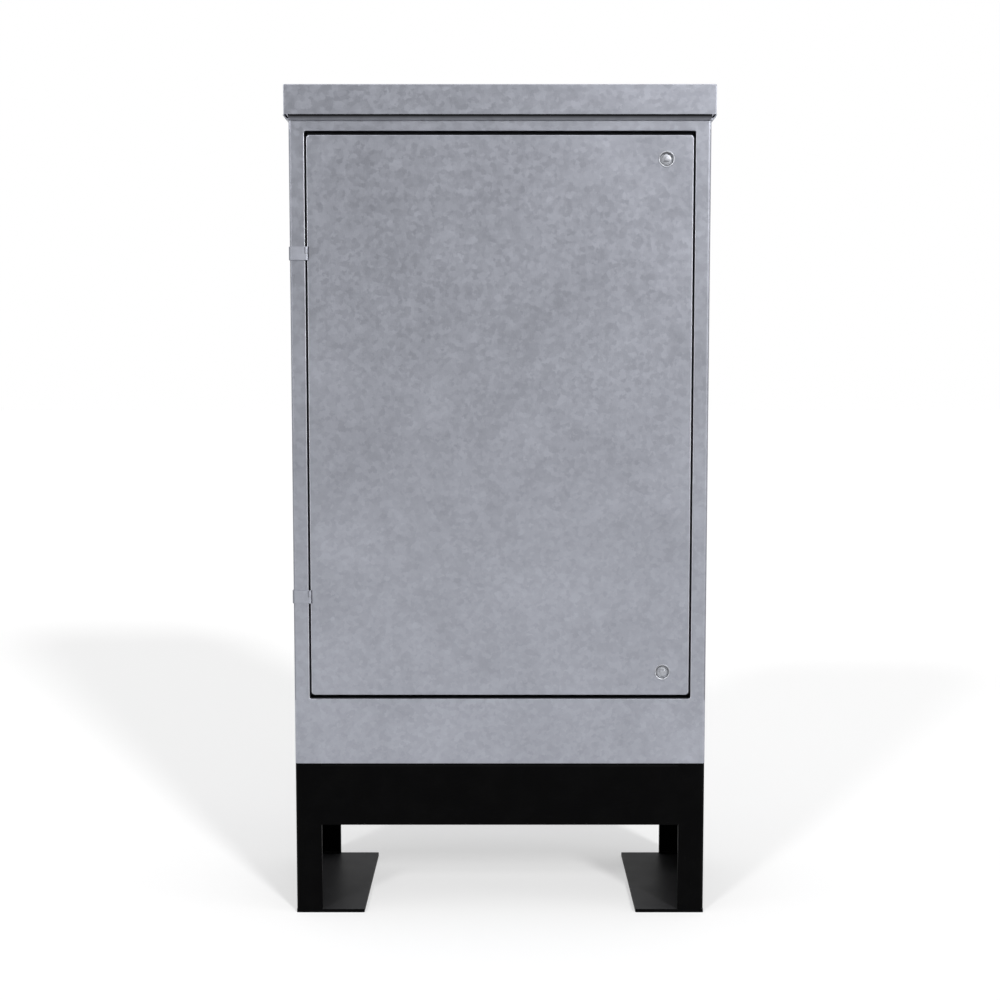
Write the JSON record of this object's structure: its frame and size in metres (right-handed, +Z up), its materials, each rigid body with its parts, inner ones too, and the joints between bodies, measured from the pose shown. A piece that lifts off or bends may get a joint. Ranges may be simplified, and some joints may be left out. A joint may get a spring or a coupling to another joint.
{
  "type": "feeder pillar",
  "caption": "Free-standing sheet-steel electrical cabinet on a two-legged root, with an inset hinged door, quarter-turn locks and an inner backboard",
  "frame": {"origin": "on the ground, under the middle of the cabinet", "axes": "+X to the right seen from the front, the door faces -Y, +Z up"},
  "size_m": [0.615, 0.285, 1.2],
  "materials": {
    "galvanised": "hot-dip galvanised, matt with a soft blotchy spangle",
    "black_coat": "black coating, satin",
    "lock_metal": "satin-plated",
    "bright_zinc": "bright zinc plated",
    "brass": "plain brass",
    "seal_foam": "closed-cell foam rubber",
    "plywood": "sanded plywood, unsealed",
    "nylon": "natural nylon"
  },
  "bodies": {
    "cabinet": {"back_panel": "galvanised", "back_rail_lower": "galvanised", "back_rail_upper": "galvanised", "backboard": "plywood", "backboard_bolts": "bright_zinc", "backboard_nuts": "bright_zinc", "backboard_washers": "bright_zinc", "base_angle": "galvanised", "door_seal": "seal_foam", "earth_nut_body": "brass", "earth_stud_body": "brass", "earth_washers_body": "brass", "foot_plate_left": "black_coat", "foot_plate_right": "black_coat", "front_shell": "galvanised", "hinge_pin_lower": "bright_zinc", "hinge_pin_upper": "bright_zinc", "hinge_strap_lower": "galvanised", "hinge_strap_upper": "galvanised", "hinge_washer_lower": "nylon", "hinge_washer_upper": "nylon", "roof_angle": "galvanised", "roof_cap": "galvanised", "roof_nuts": "bright_zinc", "roof_studs": "bright_zinc", "roof_washers": "bright_zinc", "root_apron_front": "black_coat", "root_apron_rear": "black_coat", "root_bolts": "bright_zinc", "root_leg_left": "black_coat", "root_leg_right": "black_coat", "root_nuts": "bright_zinc", "root_washers": "bright_zinc", "stop_frame": "galvanised"},
    "door": {"door_panel": "galvanised", "door_stiffener": "galvanised", "hinge_leaf_upper": "galvanised", "hinge_leaf_lower": "galvanised", "lock_housing_upper": "lock_metal", "lock_housing_lower": "lock_metal", "lock_nut_upper": "bright_zinc", "lock_nut_lower": "bright_zinc", "earth_stud_door": "brass", "earth_washers_door": "brass", "earth_nut_door": "brass"},
    "upper_lock": {"lock_insert_upper": "lock_metal", "lock_cam_upper": "bright_zinc", "cam_screw_upper": "bright_zinc", "cam_washer_upper": "bright_zinc"},
    "lower_lock": {"lock_insert_lower": "lock_metal", "lock_cam_lower": "bright_zinc", "cam_screw_lower": "bright_zinc", "cam_washer_lower": "bright_zinc"}
  },
  "joints": [
    {"name": "door_hinge", "type": "hinge", "parent": "cabinet", "child": "door", "pos_m": [-0.2765, -0.1335, 0.717], "axis": [0, 0, -1], "range_deg": [0, 110]},
    {"name": "upper_lock_turn", "type": "hinge", "parent": "door", "child": "upper_lock", "pos_m": [0.2365, -0.135, 1.0965], "axis": [0, -1, 0], "range_deg": [0, 90]},
    {"name": "lower_lock_turn", "type": "hinge", "parent": "door", "child": "lower_lock", "pos_m": [0.2365, -0.135, 0.3595], "axis": [0, 1, 0], "range_deg": [0, 90]}
  ]
}
